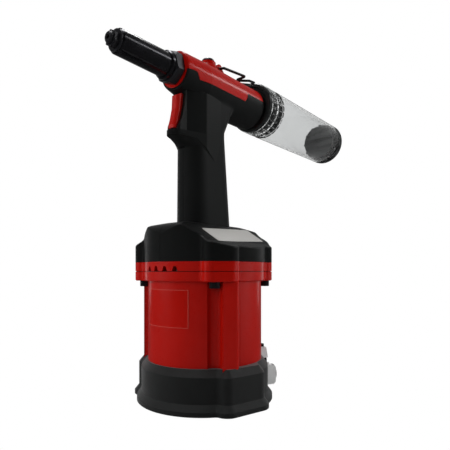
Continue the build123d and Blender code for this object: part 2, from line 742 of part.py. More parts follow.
def grip_bosses(gap):
    """Pads inside the grip that its screws draw together through the casting."""
    bosses = []
    for x, z in GRIP_SCREWS:
        bosses.append(screw_bar(x, z, GRIP_BOSS_R + gap, GRIP_BOSS_Y - gap, HEAD_R))
        bosses.append(screw_bar(x, z, GRIP_BOSS_R + gap, -HEAD_R, gap - GRIP_BOSS_Y))
    return bosses


def grip_screws():
    screws = []
    head = GRIP_SCREW_SEAT + SEAT
    for x, z in GRIP_SCREWS:
        screw = screw_bar(x, z, GRIP_SCREW_R, -GRIP_SCREW_SEAT - GRIP_SCREW_BITE, head)
        screws.append(screw + screw_bar(x, z, GRIP_SCREW_HEAD_R, head, head + GRIP_SCREW_HEAD_H))
    return Compound(screws)


def side_half(solid, side):
    """The part of a cover on one side of the joint down the middle."""
    reach = 2 * HEAD_Z
    low = SEAM / 2 if side > 0 else -reach
    high = reach if side > 0 else -SEAM / 2
    return solid & block((-reach, low, 0), (reach, high, reach))


def roof(drop):
    """Space under the skirt's roof, lowered by a wall."""
    eave = 2 * FLANGE_R
    knee_y, knee_z = ROOF_KNEE
    eave_z = knee_z - (eave - knee_y) * math.tan(math.radians(EAVE_SLOPE))
    side = [(RIDGE_HALF, RIDGE_Z), (knee_y, knee_z), (eave, eave_z), (eave, 0)]
    outline = [(y, max(z - drop, 0)) for y, z in side]
    outline += [(-y, z) for y, z in reversed(outline)]
    prism = extrude(Plane.YZ * make_face(Polyline(*outline, close=True)), 2 * FLANGE_R, both=True)
    bends = prism.edges().filter_by(Axis.X).filter_by(lambda e: e.center().Z > knee_z - drop - 1)
    return fillet(bends, ROOF_ROUND)


def end_falls(drop):
    """Space between the skirt's rounded front and rear."""
    reach = FLANGE_R - drop
    low = SKIRT_FRONT_Z - drop
    handle = HANDLE_LOW[0] / 2
    top = RIDGE_Z - drop + SKIRT_EDGE
    middle = HANDLE_LOW[2]
    outline = [(-reach, 0), (-reach, low), (middle - handle, top), (middle + handle, top),
               (reach, low), (reach, 0)]
    prism = across(outline, 2 * FLANGE_R)
    corners = prism.edges().filter_by(Axis.Y).filter_by(lambda e: abs(e.center().Z - low) < 0.1)
    return fillet(corners, SKIRT_FRONT_ROUND - drop)


def rounded_roof():
    """Space under the roof and between the falls, rounded where they cross."""
    space = roof(0) & end_falls(0)
    crossings = [e for e in space.edges() if min(e.bounding_box().size.X, e.bounding_box().size.Y) > SEAM]
    return fillet(crossings, SKIRT_CROSS)


def roof_rim(shell):
    """Edges where the skirt's walls meet its roof."""
    walls = shell.faces().filter_by(lambda f: round(f.normal_at().Z, 3) == 0)
    edges = walls.edges().filter_by(lambda e: e.bounding_box().min.Z > SKIRT_LOW + SKIRT_RIM)
    return edges.filter_by(Axis.Z, reverse=True)


def skirt():
    outside = slab(flange_plan(), SKIRT_LOW + SEAT, HEAD_Z) & rounded_roof()
    outside = fillet(roof_rim(outside), SKIRT_RIM)
    inside = slab(offset(flange_plan(), -SKIRT_T), SKIRT_LOW, HEAD_Z) & roof(SKIRT_T) & end_falls(SKIRT_T)
    shell = outside - inside
    return shell - slab(handle_section(HANDLE_LOW, 0, -SEAM), SKIRT_LOW, HEAD_Z)


# Hanger

def hanger():
    """Wire bail through the lug, with an eye bent at its rear end."""
    low = -2.5 * HANGER_R
    half = HANGER_HALF
    lug = (0, 0, 0)
    eye = (EYE_REACH, EYE_SHIFT, 0)
    left = EYE_SHIFT - EYE_HALF
    right = EYE_SHIFT + EYE_HALF
    near = [lug, (0, -half, 0), (HANGER_REACH, -half, 0), (HANGER_REACH, half, 0),
            (EYE_REACH - 3 * EYE_HALF, left, 0), (EYE_REACH, left, 0), eye]
    far = [eye, (EYE_REACH, right, 0), (HANGER_REACH, half, low),
           (3 * HANGER_BEND, half, low), (0, half, 0), lug]
    place = Pos(LUG_X, 0, HEAD_Z + HANGER_RISE) * Rot(0, -HANGER_TILT, 0)
    return place * (bent_wire(near) + bent_wire(far))


def bent_wire(points):
    """Round wire along a line with rounded bends."""
    path = FilletPolyline(*points, radius=HANGER_BEND)
    section = Plane(origin=path @ 0, z_dir=path % 0) * Circle(HANGER_R)
    return sweep(section, path=path)


# Pulling head

def pull_piston():
    body = bar(PISTON_X, PULL_BORE_R - RUN, PISTON_L)
    body += bar(ROD_FRONT, ROD_R, PISTON_X - ROD_FRONT)
    middle = PISTON_X + PISTON_L / 2
    body -= tube(middle - SEAL_W / 2, PULL_BORE_R, PULL_BORE_R - SEAL_DEEP - SEAT, SEAL_W)
    body -= bar(ROD_FRONT, MANDREL_R, PISTON_X + PISTON_L - ROD_FRONT)
    return body - bar(PISTON_X + PISTON_L - TAIL_PRESS, TAIL_R + SEAT, TAIL_PRESS)


def pull_piston_seal():
    middle = PISTON_X + PISTON_L / 2
    return tube(middle - SEAL_W / 2 + SEAT, PULL_BORE_R - RUN, PULL_BORE_R - SEAL_DEEP, SEAL_W - 2 * SEAT)


def rod_seal():
    return tube(ROD_SEAL_X + SEAT, ROD_R + SEAL_DEEP - SEAT, ROD_R + RUN, SEAL_W - 2 * SEAT)


def mandrel_tube():
    start = PISTON_X + PISTON_L - TAIL_PRESS + SEAT
    return tube(start, TAIL_R, MANDREL_R, TAIL_END - start)


def return_spring():
    start = PISTON_X + PISTON_L + SEAT
    return tube(start, SPRING_R[1], SPRING_R[0], adapter_front() - SEAT - start)


def adapter_front():
    return HEAD_REAR - PLUG_L


def collet_taper(gap):
    """Cone that the jaws close in, from its front to its rear radius."""
    front = COLLET_FRONT + COLLET_LIP
    return [(front, JAW_FRONT_R + gap), (front + JAW_L, COLLET_BORE_R - SEAT + gap)]


def jaw_case():
    cone = collet_taper(SEAT)
    thread = ROD_R + SEAT
    inside = [(COLLET_FRONT, cone[0][1]), *cone, (ROD_FRONT, cone[1][1]),
              (ROD_FRONT, thread), (COLLET_REAR, thread)]
    return turned([(COLLET_REAR, COLLET_R), (COLLET_FRONT, COLLET_R), *inside])


def jaws():
    cone = collet_taper(0)
    solid = turned([(cone[0][0], JAW_HOLE_R), cone[0], cone[1], (cone[1][0], JAW_HOLE_R)])
    reach = 2 * COLLET_R
    for index in range(3):
        cut = Pos(cone[0][0], 0, HEAD_Z) * Rot(120 * index, 0, 0)
        solid -= cut * block((-1, -JAW_SPLIT / 2, 0), (JAW_L + 1, JAW_SPLIT / 2, reach))
    return Compound(solid.solids())


def jaw_pusher():
    start = collet_taper(0)[1][0] + SEAT
    pusher = tube(start, COLLET_BORE_R - SEAT, PUSHER_HOLE_R, PUSHER_L / 2)
    return pusher + tube(start + PUSHER_L / 2, PUSHER_TAIL_R, PUSHER_HOLE_R, PUSHER_L / 2)


def jaw_spring():
    start = collet_taper(0)[1][0] + PUSHER_L / 2 + 2 * SEAT
    return tube(start, COLLET_BORE_R - SEAT, PUSHER_TAIL_R + SEAT, ROD_FRONT - SEAT - start)


# Nose

def nose_housing():
    collar_x, collar_r = NOSE_COLLAR
    seat_x = NECK_FRONT - NUT_T - SEAT
    front_wall = NOSE_FRONT + TIP_THREAD_L
    collar_low = collar_r - NOSE_RIM
    outline = [(NOSE_FRONT, TIP_THREAD_R + SEAT), (NOSE_FRONT, NOSE_R_FRONT - NOSE_RIM),
               (NOSE_FRONT + NOSE_RIM, NOSE_R_FRONT), (collar_x, NOSE_R_REAR), (collar_x, collar_low),
               (collar_x + NOSE_RIM, collar_r), (seat_x - NOSE_RIM, collar_r), (seat_x, collar_low),
               (seat_x, NOSE_THREAD_R), (NOSE_THREAD_END, NOSE_THREAD_R), (NOSE_THREAD_END, NOSE_BORE_R),
               (front_wall, NOSE_BORE_R), (front_wall, TIP_THREAD_R + SEAT)]
    return turned(outline)


def hexagon(across_flats, x, length):
    """Hexagonal bar on the pulling axis."""
    face = RegularPolygon(across_flats / math.sqrt(3), 6)
    return Pos(x, 0, HEAD_Z) * Rot(0, 90, 0) * extrude(face, length)


def lock_nut():
    corner = NUT_AF / math.sqrt(3) + SEAM
    flat = NUT_AF / 2 - SEAM
    start = NECK_FRONT - SEAT - NUT_T
    end = start + NUT_T
    trim = turned([(start, 0), (start, flat), (start + NUT_CHAMFER, corner), (end - NUT_CHAMFER, corner),
                   (end, flat), (end, 0)])
    hexed = Pos(0, 0, HEAD_Z) * Rot(NUT_TURN, 0, 0) * Pos(0, 0, -HEAD_Z) * hexagon(NUT_AF, start, NUT_T)
    return (hexed & trim) - bar(start, NOSE_THREAD_R + SEAT, NUT_T)


def nosepiece():
    tip_end = TIP_X + TIP_L
    hex_end = tip_end + TIP_HEX_L
    collar_end = NOSE_FRONT - SEAT
    solid = turned([(TIP_X, TIP_HOLE_R), (TIP_X, TIP_R - NOSE_RIM), (TIP_X + NOSE_RIM, TIP_R),
                    (tip_end, TIP_R), (tip_end, TIP_HOLE_R)])
    solid += hexagon(TIP_HEX_AF, tip_end, TIP_HEX_L) - bar(tip_end, TIP_HOLE_R, TIP_HEX_L)
    solid += tube(hex_end, TIP_COLLAR_R, TIP_HOLE_R, collar_end - hex_end)
    solid += tube(collar_end, TIP_THREAD_R, TIP_HOLE_R, TIP_THREAD_L)
    rim = turned([(TIP_X, 0), (TIP_X, TIP_HOLE_R + NOSE_RIM), (TIP_X + NOSE_RIM, 0)])
    return solid - rim


# Collector

def rear_adapter():
    front = adapter_front()
    end = RING_REAR + SPIGOT_L
    hole = TAIL_R + FREE
    plug = PULL_BORE_R - SEAT
    stub = COLLECTOR_R - COLLECTOR_T - FREE
    lip = RING_R - RING_LIP
    floor = RING_FRONT + RING_HOLLOW
    outline = [(front, hole), (front, plug), (HEAD_REAR + SEAT, plug), (HEAD_REAR + SEAT, RING_NECK_R),
               (floor, RING_NECK_R), (floor, lip), (RING_FRONT, lip), (RING_FRONT, RING_R - RING_EDGE),
               (RING_FRONT + RING_EDGE, RING_R), (RING_REAR, RING_R), (RING_REAR, stub),
               (end - RING_EDGE, stub), (end, stub - RING_EDGE), (end, hole)]
    return turned(outline)


def collector_bottle():
    start = RING_REAR + SEAM
    bottle = tube(start, COLLECTOR_R, COLLECTOR_R - COLLECTOR_T, COLLECTOR_REAR - start)
    width = 2 * math.pi * COLLECTOR_R / SLOT_COUNT * SLOT_SHARE
    first = RING_REAR + SLOT_FIRST
    for row in range(SLOT_ROWS):
        x = first + row * (SLOT_L + SLOT_GAP)
        for index in range(SLOT_COUNT // 2):
            slot = block((0, -width / 2, -2 * COLLECTOR_R), (SLOT_L, width / 2, 2 * COLLECTOR_R))
            bottle -= Pos(x, 0, HEAD_Z) * Rot(360 * index / SLOT_COUNT, 0, 0) * slot
    return bottle


def collector_cap():
    inner = COLLECTOR_R - COLLECTOR_T - SEAT
    start = COLLECTOR_REAR - CAP_DEEP
    solid = bar(start, CAP_STUB_R, CAP_DEEP + SEAT)
    length, width = CAP_RIB
    clips = bar(COLLECTOR_REAR - length, inner, length + SEAT)
    for index in range(CAP_RIBS // 2):
        rib = block((-length, -width / 2, -COLLECTOR_R), (SEAT, width / 2, COLLECTOR_R))
        solid += clips & Pos(COLLECTOR_REAR, 0, HEAD_Z) * Rot(360 * index / CAP_RIBS, 0, 0) * rib
    rim = bar(COLLECTOR_REAR + SEAT, COLLECTOR_R, CAP_RIM)
    rim = fillet(rim.edges().filter_by(GeomType.CIRCLE).sort_by(Axis.X)[-1:], CAP_ROUND)
    solid += rim
    return solid - bar(start + CAP_WALL, CAP_STUB_R - CAP_WALL, CAP_DEEP + CAP_RIM)


# Trigger

def trigger_room(gap):
    """Slot in the grip and the casting that the trigger slides in."""
    half = TRIGGER_W / 2 + gap
    low = TRIGGER_FOOT_Z - gap
    rear = TRIGGER_BACK + TRIGGER_TRAVEL + 2 * gap
    return block((2 * COLLAR_FRONT, -half, low), (rear, half, trigger_top() + gap))


def valve_hole():
    """Bore for the valve's sleeve behind the trigger."""
    end = valve_sleeve_front() + VALVE_SLEEVE_L + SEAT
    return valve_bar(TRIGGER_BACK, VALVE_SLEEVE_R + SEAT, end - TRIGGER_BACK)


def trigger_top():
    return TRIGGER_FRONT[0][1] + TRIGGER_CROWN


def trigger():
    top = trigger_top()
    crown_x = TRIGGER_FRONT[0][0] + 2 * TRIGGER_CROWN
    lip_x = TRIGGER_FRONT[-1][0] + TRIGGER_CROWN / 3
    outline = [(TRIGGER_BACK, TRIGGER_FOOT_Z), (TRIGGER_BACK, top), (crown_x, top), *TRIGGER_FRONT,
               (lip_x, TRIGGER_FOOT_Z)]
    solid = across(outline, TRIGGER_W / 2)
    fronts = solid.edges().filter_by(lambda e: e.center().X < TRIGGER_FRONT[0][0] and abs(e.center().Y) > 1)
    solid = fillet(fronts, TRIGGER_ROUND)
    return solid - valve_bar(TRIGGER_BACK - STEM_SOCKET, VALVE_R + SEAT, STEM_SOCKET)


def valve_sleeve_front():
    return TRIGGER_BACK + TRIGGER_TRAVEL + FREE + SEAT


def valve_bar(x, radius, length):
    """Round bar in line with the valve stem."""
    return Pos(x, 0, VALVE_Z) * lying(radius, length)


def valve_stem():
    start = TRIGGER_BACK - STEM_SOCKET + SEAT
    return valve_bar(start, VALVE_R, valve_sleeve_front() + VALVE_IN - start)


def valve_sleeve():
    front = valve_sleeve_front()
    sleeve = valve_bar(front, VALVE_SLEEVE_R, VALVE_SLEEVE_L)
    sleeve -= valve_bar(front, TRIGGER_SPRING_R[1] + SEAT, SPRING_POCKET)
    return sleeve - valve_bar(front, VALVE_R + RUN, VALVE_SLEEVE_L - 1)


def trigger_spring():
    front = TRIGGER_BACK + SEAT
    length = valve_sleeve_front() + SPRING_POCKET - SEAT - front
    return valve_bar(front, TRIGGER_SPRING_R[1], length) - valve_bar(front, TRIGGER_SPRING_R[0], length)


# Air inlet

def inlet_place():
    return round_the_stand(INLET_ANGLE)


def inlet_room(gap):
    """Notch in the boot for the inlet block."""
    half = INLET_W / 2 + gap
    low = INLET_LOW - gap
    return inlet_place() * block((WALL_R - BOOT_WALL, -half, low), (2 * INLET_REACH, half, 2 * BOOT_TOP))


def manifold_screw_bars(radius, gap):
    """Round bars through the inlet block into the cylinder's wall."""
    bars = []
    for side in (-1, 1):
        start = MANIFOLD_SCREW_END - gap
        place = inlet_place() * Pos(start, side * MANIFOLD_SCREW_HALF, MANIFOLD_SCREW_Z)
        bars.append(place * lying(radius, manifold_face() - start))
    return bars


def manifold_face():
    """Where the screws' heads seat, from the cylinder's axis."""
    return INLET_NECK[1] - MANIFOLD_SCREW_HEAD_H


def feed_cross():
    """Air feed from the inlet block through the cylinder's wall."""
    length = FEED_X - BORE_R + 2
    return inlet_place() * Pos(BORE_R - 2, 0, FEED_Z) * lying(FEED_R, length)


def inlet_block():
    half = INLET_W / 2
    start = WALL_R - BOOT_WALL
    wide = block((start, -half, INLET_LOW), (INLET_REACH, half, INLET_SHOULDER))
    wide = fillet(wide.edges().filter_by(Axis.Y).group_by(Axis.X)[-1], 2 * INLET_EDGE)
    neck_low, neck_high = INLET_NECK
    neck_outline = [(start, INLET_SHOULDER), (neck_low, INLET_SHOULDER),
                    (neck_high, INLET_TOP), (start, INLET_TOP)]
    neck = across(neck_outline, half - INLET_EDGE)
    solid = wide + neck
    solid -= disc(0, WALL_R + SEAT, HEAD_Z)
    solid -= Pos(INLET_REACH - PORT_DEEP, 0, PORT_Z) * lying(PORT_R, PORT_DEEP)
    solid -= Pos(FEED_X, 0, PORT_Z) * Cylinder(FEED_R, INLET_TOP - PORT_Z, align=MIN_Z)
    solid = inlet_place() * solid - feed_cross()
    for hole in manifold_screw_bars(MANIFOLD_SCREW_R + SEAT, 0):
        solid -= hole
    for side in (-1, 1):
        seat = inlet_place() * Pos(manifold_face(), side * MANIFOLD_SCREW_HALF, MANIFOLD_SCREW_Z)
        solid -= seat * lying(MANIFOLD_SCREW_HEAD_R + SEAT, INLET_REACH)
    return solid


def inlet_screws():
    screws = []
    for side, shank in zip((-1, 1), manifold_screw_bars(MANIFOLD_SCREW_R, -SEAT)):
        seat = inlet_place() * Pos(manifold_face() - SEAT, side * MANIFOLD_SCREW_HALF, MANIFOLD_SCREW_Z)
        neck = seat * lying(MANIFOLD_SCREW_R, 3 * SEAT)
        head = seat * Pos(2 * SEAT, 0, 0) * lying(MANIFOLD_SCREW_HEAD_R, MANIFOLD_SCREW_HEAD_H)
        screws.append(shank + neck + head)
    return Compound(screws)


def feed_plug():
    cap = Pos(FEED_X, 0, INLET_TOP + SEAT) * Cylinder(FEED_CAP_R, FEED_CAP_T, align=MIN_Z)
    cap += Pos(FEED_X, 0, INLET_TOP - FEED_CAP_T) * Cylinder(FEED_R - SEAT, FEED_CAP_T + SEAT, align=MIN_Z)
    cap -= disc(0, WALL_R + SEAT, HEAD_Z)
    return inlet_place() * cap


def port_ring():
    place = inlet_place() * Pos(INLET_REACH + SEAT, 0, PORT_Z)
    return place * (lying(PORT_RING_R, PORT_RING_T) - lying(PORT_RING_HOLE_R, PORT_RING_T))


def film_label():
    """Clear film round the front of the cylinder."""
    film = ring(FILM_Z[0], WALL_R + SEAT / 2 + FILM_T, WALL_R + SEAT / 2, FILM_Z[1] - FILM_Z[0])
    reach = 2 * WALL_R
    corners = [(round_the_stand(angle) * Pos(reach, 0, 0)).position for angle in FILM_ANGLES]
    wedge = make_face(Polyline((0, 0), corners[0], corners[1], close=True))
    return film & extrude(wedge, HEAD_Z)


def skirt_label():
    film = roof(-SEAT / 2 - FILM_T) - roof(-SEAT / 2)
    plan = Pos(*LABEL_PLACE) * Rot(0, 0, LABEL_TURN) * RectangleRounded(*LABEL_SIZE, LABEL_CORNER)
    return film & slab(plan, SKIRT_LOW, HEAD_Z)


def build():
    shell = grip()
    cover = skirt()
    return {
        "rubber_boot": rubber_boot(),
        "air_cylinder": air_cylinder(),
        "cylinder_base": cylinder_base(),
        "base_o_ring": base_o_ring(),
        "base_circlip": base_circlip(),
        "flange_gasket": flange_gasket(),
        "flange_bolts": flange_bolts(),
        "muffler_felt": muffler_felt(),
        "air_piston": air_piston(),
        "air_piston_seal": air_piston_seal(),
        "ram_rod": ram_rod(),
        "stud_nut": stud_nut(),
        "ram_gland": ram_gland(),
        "ram_seal": ram_seal(),
        "body_casting": body_casting(),
        "oil_plug": oil_plug(),
        "grip_left": side_half(shell, -1),
        "grip_right": side_half(shell, 1),
        "grip_screws": grip_screws(),
        "skirt_left": side_half(cover, -1),
        "skirt_right": side_half(cover, 1),
        "hanger": hanger(),
        "pull_piston": pull_piston(),
        "pull_piston_seal": pull_piston_seal(),
        "rod_seal": rod_seal(),
        "mandrel_tube": mandrel_tube(),
        "return_spring": return_spring(),
        "jaw_case": jaw_case(),
        "jaws": jaws(),
        "jaw_pusher": jaw_pusher(),
        "jaw_spring": jaw_spring(),
        "nose_housing": nose_housing(),
        "lock_nut": lock_nut(),
        "nosepiece": nosepiece(),
        "rear_adapter": rear_adapter(),
        "collector_bottle": collector_bottle(),
        "collector_cap": collector_cap(),
        "trigger": trigger(),
        "valve_stem": valve_stem(),
        "valve_sleeve": valve_sleeve(),
        "trigger_spring": trigger_spring(),
        "inlet_block": inlet_block(),
        "inlet_screws": inlet_screws(),
        "feed_plug": feed_plug(),
        "port_ring": port_ring(),
        "film_label": film_label(),
        "skirt_label": skirt_label(),
    }


os.makedirs("parts", exist_ok=True)
for node, solid in build().items():
    export_step(solid, f"parts/{node}.step")
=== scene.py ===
import math

import bmesh
import bpy
from mathutils import Matrix, Vector


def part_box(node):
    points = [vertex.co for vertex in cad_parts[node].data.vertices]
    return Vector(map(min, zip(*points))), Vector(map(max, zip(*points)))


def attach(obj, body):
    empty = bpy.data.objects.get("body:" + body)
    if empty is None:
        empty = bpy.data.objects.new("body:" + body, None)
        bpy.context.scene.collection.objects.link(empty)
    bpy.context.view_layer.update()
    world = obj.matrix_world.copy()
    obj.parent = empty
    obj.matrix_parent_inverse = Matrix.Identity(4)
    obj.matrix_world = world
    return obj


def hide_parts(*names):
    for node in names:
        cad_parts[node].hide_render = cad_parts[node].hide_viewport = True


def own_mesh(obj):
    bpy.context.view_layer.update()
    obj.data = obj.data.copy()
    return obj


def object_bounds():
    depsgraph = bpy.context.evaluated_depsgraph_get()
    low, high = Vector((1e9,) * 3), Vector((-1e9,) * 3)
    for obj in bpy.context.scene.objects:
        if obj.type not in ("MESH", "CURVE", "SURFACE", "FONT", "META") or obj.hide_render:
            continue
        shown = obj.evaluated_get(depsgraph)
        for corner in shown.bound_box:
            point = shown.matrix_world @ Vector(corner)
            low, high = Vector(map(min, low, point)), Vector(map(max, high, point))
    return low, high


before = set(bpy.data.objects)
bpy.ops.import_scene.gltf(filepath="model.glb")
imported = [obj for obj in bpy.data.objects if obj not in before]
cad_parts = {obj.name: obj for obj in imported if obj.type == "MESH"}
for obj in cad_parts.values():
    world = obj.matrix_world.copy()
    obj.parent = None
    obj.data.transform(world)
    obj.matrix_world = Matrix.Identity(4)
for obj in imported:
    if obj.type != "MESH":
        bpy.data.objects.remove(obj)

bl_info = {
    "name": "Air hydraulic riveter",
    "version": (1, 0, 0),
    "blender": (4, 5, 0),
    "location": "View3D > Sidebar > Riveter",
    "description": "Finishes, springs and studio of an air hydraulic riveter",
    "category": "Object",
}

CAD_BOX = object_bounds()

# Sizes in metres, apart from the camera's sensor in millimetres
# Width of the painted highlight along the clear film's cut edges
FILM_EDGE_HIGHLIGHT = 0.00035
FLOOR_REACH = 6.0
NEAREST_SEEN = 0.01
SENSOR_WIDTH = 36.0

# Usual spread of a noise pattern, and the radians that a wave pattern turns for each unit of its scale
NOISE_LOW = 0.3
NOISE_HIGH = 0.7
WAVE_RADIANS = 20

# Springs: steps in a turn, sides of the wire, closed turns at each end and their lead in wire thicknesses
COIL_STEPS = 24
WIRE_SIDES = 10
CLOSED_TURNS = 0.75
CLOSED_LEAD = 1.04


def linear(colour):
    """Linear RGBA of an sRGB hex colour."""
    channels = [int(colour[i:i + 2], 16) / 255 for i in (1, 3, 5)]
    return (*[c / 12.92 if c <= 0.04045 else ((c + 0.055) / 1.055) ** 2.4 for c in channels], 1.0)


def per_mm(size):
    """Texture scale whose pattern repeats about every size millimetres."""
    return 1000 / size


def add(tree, kind, inputs=None, **settings):
    """Add a node: settings are its own, inputs are values or other nodes' outputs."""
    node = tree.nodes.new(kind)
    for name, value in settings.items():
        setattr(node, name, value)
    for socket, value in (inputs or {}).items():
        if isinstance(value, bpy.types.NodeSocket):
            tree.links.new(value, node.inputs[socket])
        else:
            node.inputs[socket].default_value = value
    return node


def colour_setting(name, description, colour):
    return bpy.props.FloatVectorProperty(
        name=name, description=description, default=linear(colour), size=4, subtype="COLOR", min=0, max=1)


def length_setting(name, description, metres):
    return bpy.props.FloatProperty(
        name=name, description=description, default=metres, unit="LENGTH", precision=5)


def power_setting(name, description, watts):
    return bpy.props.FloatProperty(name=name, description=description, default=watts, unit="POWER")


def plain_setting(name, description, value):
    return bpy.props.FloatProperty(name=name, description=description, default=value)


class RiveterFinishes(bpy.types.PropertyGroup):
    """Colours of the riveter's finishes."""

    enamel: colour_setting("Enamel", "Red enamel of the castings", "#A80D04")
    trigger: colour_setting("Trigger", "Red moulding of the trigger", "#B01008")
    nylon: colour_setting("Grip", "Black moulding of the grip and the skirt", "#101111")
    rubber: colour_setting("Boot", "Black rubber of the boot", "#1A1B1B")
    oxide: colour_setting("Black oxide", "Blackened steel of the nose and the screws", "#232326")
    polycarbonate: colour_setting("Collector", "Clear moulding of the collector", "#E6E7E7")
    aluminium: colour_setting("Inlet block", "Blasted aluminium of the inlet block", "#F2F3F3")
    label: colour_setting("Label", "Blank vinyl label on the skirt", "#D2D0CC")


class RiveterSprings(bpy.types.PropertyGroup):
    """Wire and coils of the hidden springs."""

    return_wire: length_setting("Return wire", "Wire thickness of the return spring", 0.0026)
    return_coils: plain_setting("Return coils", "Open coils of the return spring", 3.0)
    trigger_wire: length_setting("Trigger wire", "Wire thickness of the trigger's spring", 0.0007)
    trigger_coils: plain_setting("Trigger coils", "Open coils of the trigger's spring", 4.5)
    jaw_wire: length_setting("Jaw wire", "Wire thickness of the jaws' spring", 0.0014)
    jaw_coils: plain_setting("Jaw coils", "Open coils of the jaws' spring", 3.0)


class RiveterStudio(bpy.types.PropertyGroup):
    """Camera and lamps."""

    azimuth: bpy.props.FloatProperty(
        name="Azimuth", description="Camera's place round the tool", default=math.radians(-50.6),
        subtype="ANGLE")
    distance: length_setting("Distance", "Camera to the stand's axis", 0.376)
    aside: length_setting("Aside", "Camera's place to the right of the axis", 0.0175)
    height: length_setting("Height", "Camera above the floor", 0.109)
    lens: bpy.props.FloatProperty(name="Lens", description="Focal length", default=34.33, unit="CAMERA")
    rise: plain_setting("Rise", "Upward shift of the frame", 0.1024)
    fill: power_setting("Fill", "Lamp beside the camera, too soft to mirror", 3.2)
    overhead: power_setting("Overhead", "Lamp above the tool", 5.0)
    left: power_setting("Left", "Tall lamp on the left, too soft to mirror", 5.4)
    right: power_setting("Right", "Tall lamp on the right, too soft to mirror", 7.0)
    rim: power_setting("Rims", "Two upright strips behind the tool, which line its edges", 0.4)
    gleam: power_setting("Gleam", "Narrow lamp high on the right, seen only as a line of light", 1.0)
    front: plain_setting("Front", "Room's light at the camera's side", 0.01)
    backdrop: plain_setting("Backdrop", "Light of the backdrop", 0.20)
    sheen: plain_setting("Sheen", "Floor's brightness in reflections", 0.06)


# Finishes

def finish(name, sockets):
    """New material with one shader: its node tree and that shader."""
    material = bpy.data.materials.new(name)
    material.use_nodes = True
    tree = material.node_tree
    tree.nodes.clear()
    shader = add(tree, "ShaderNodeBsdfPrincipled", sockets)
    add(tree, "ShaderNodeOutputMaterial", {"Surface": shader.outputs["BSDF"]})
    return material, tree, shader


def place(tree):
    return add(tree, "ShaderNodeTexCoord").outputs["Object"]


def shade(colour, factor):
    return (*[min(1.0, c * factor) for c in colour[:3]], 1.0)


def grain(tree, where, size, detail=2.0):
    """Cloudy pattern with features of a size in millimetres."""
    inputs = {"Vector": where, "Scale": per_mm(size), "Detail": detail}
    return add(tree, "ShaderNodeTexNoise", inputs).outputs[0]


def between(tree, factor, low, high):
    """Number that runs from low to high with a pattern."""
    inputs = {0: factor, 1: NOISE_LOW, 2: NOISE_HIGH, 3: low, 4: high}
    return add(tree, "ShaderNodeMapRange", inputs).outputs[0]


def tint(tree, factor, first, second):
    """Colour that runs between two with a pattern."""
    return add(tree, "ShaderNodeMix", {0: factor, 6: first, 7: second}, data_type="RGBA").outputs[2]


def relief(tree, height, depth_mm, strength):
    inputs = {"Height": height, "Distance": depth_mm / 1000, "Strength": strength}
    return add(tree, "ShaderNodeBump", inputs).outputs[0]


def join(tree, shader, **sockets):
    for name, output in sockets.items():
        tree.links.new(output, shader.inputs[name.replace("_", " ")])


def red_enamel(colour):
    """Gloss enamel sprayed on cast aluminium: a faint orange peel breaks up its highlights."""
    material, tree, shader = finish("red_enamel", {"IOR": 1.5, "Specular IOR Level": 0.15, "Coat Weight": 0.2,
                                                   "Coat Roughness": 0.08})
    where = place(tree)
    cast = grain(tree, where, 22)
    peel = grain(tree, where, 1.3, 3.0)
    join(tree, shader, Base_Color=tint(tree, cast, shade(colour, 0.92), shade(colour, 1.07)),
         Roughness=between(tree, peel, 0.27, 0.36), Normal=relief(tree, peel, 0.05, 0.35))
    return material


def moulded_red(colour):
    """Moulded red ABS: even colour, with a soft sheen from a lightly textured mould."""
    material, tree, shader = finish("moulded_red_abs", {"IOR": 1.54})
    where = place(tree)
    skin = grain(tree, where, 0.6)
    join(tree, shader, Base_Color=tint(tree, grain(tree, where, 9), shade(colour, 0.94), shade(colour, 1.05)),
         Roughness=between(tree, skin, 0.3, 0.4), Normal=relief(tree, skin, 0.02, 0.3))
    return material


def moulded_black(name, colour, rough, pit_mm):
    """Black glass-filled nylon: spark-eroded mould texture, drawn coarse enough to show as a satin sheen."""
    material, tree, shader = finish(name, {"IOR": 1.45, "Specular IOR Level": 0.35})
    where = place(tree)
    pits = grain(tree, where, pit_mm, 4.0)
    flow = grain(tree, where, 30)
    join(tree, shader, Base_Color=tint(tree, flow, shade(colour, 0.85), shade(colour, 1.2)),
         Roughness=between(tree, pits, rough - 0.06, rough + 0.08), Normal=relief(tree, pits, 0.04, 0.4))
    return material


def painted_reflection_plug(colour):
    """Black nylon plug with painted reflections: broad light and dark bands run level across its face, and
    its gloss follows them.
    """
    material, tree, shader = finish("plug_nylon_with_painted_reflections", {"IOR": 1.45})
    where = place(tree)
    level = add(tree, "ShaderNodeMapping", {"Vector": where, "Scale": (0.3, 0.12, 1.0)}).outputs[0]
    painted_reflection_bands = between(tree, grain(tree, level, 9), 0.0, 1.0)
    pits = grain(tree, where, 0.6, 4.0)
    # Painted reflection: the light and dark bands in the colour stand in for reflections on the plug seen
    # through the collector; the gloss follows the same bands.
    join(tree, shader, Base_Color=tint(tree, painted_reflection_bands, shade(colour, 0.3), shade(colour, 2.2)),
         Specular_IOR_Level=between(tree, painted_reflection_bands, 0.1, 0.7), Roughness=between(tree, pits, 0.24, 0.38),
         Normal=relief(tree, pits, 0.04, 0.4))
    return material


def boot_rubber(colour):
    """Moulded natural rubber: matte, slightly bloomed, with a fine blasted mould grain."""
    material, tree, shader = finish("moulded_rubber", {"IOR": 1.5, "Specular IOR Level": 0.4,
                                                       "Sheen Weight": 0.25, "Sheen Roughness": 0.4})
    where = place(tree)
    bloom = grain(tree, where, 14, 5.0)
    skin = grain(tree, where, 0.8, 4.0)
    join(tree, shader, Base_Color=tint(tree, bloom, shade(colour, 0.85), shade(colour, 1.35)),
         Roughness=between(tree, skin, 0.48, 0.62), Normal=relief(tree, skin, 0.06, 0.45))
    return material


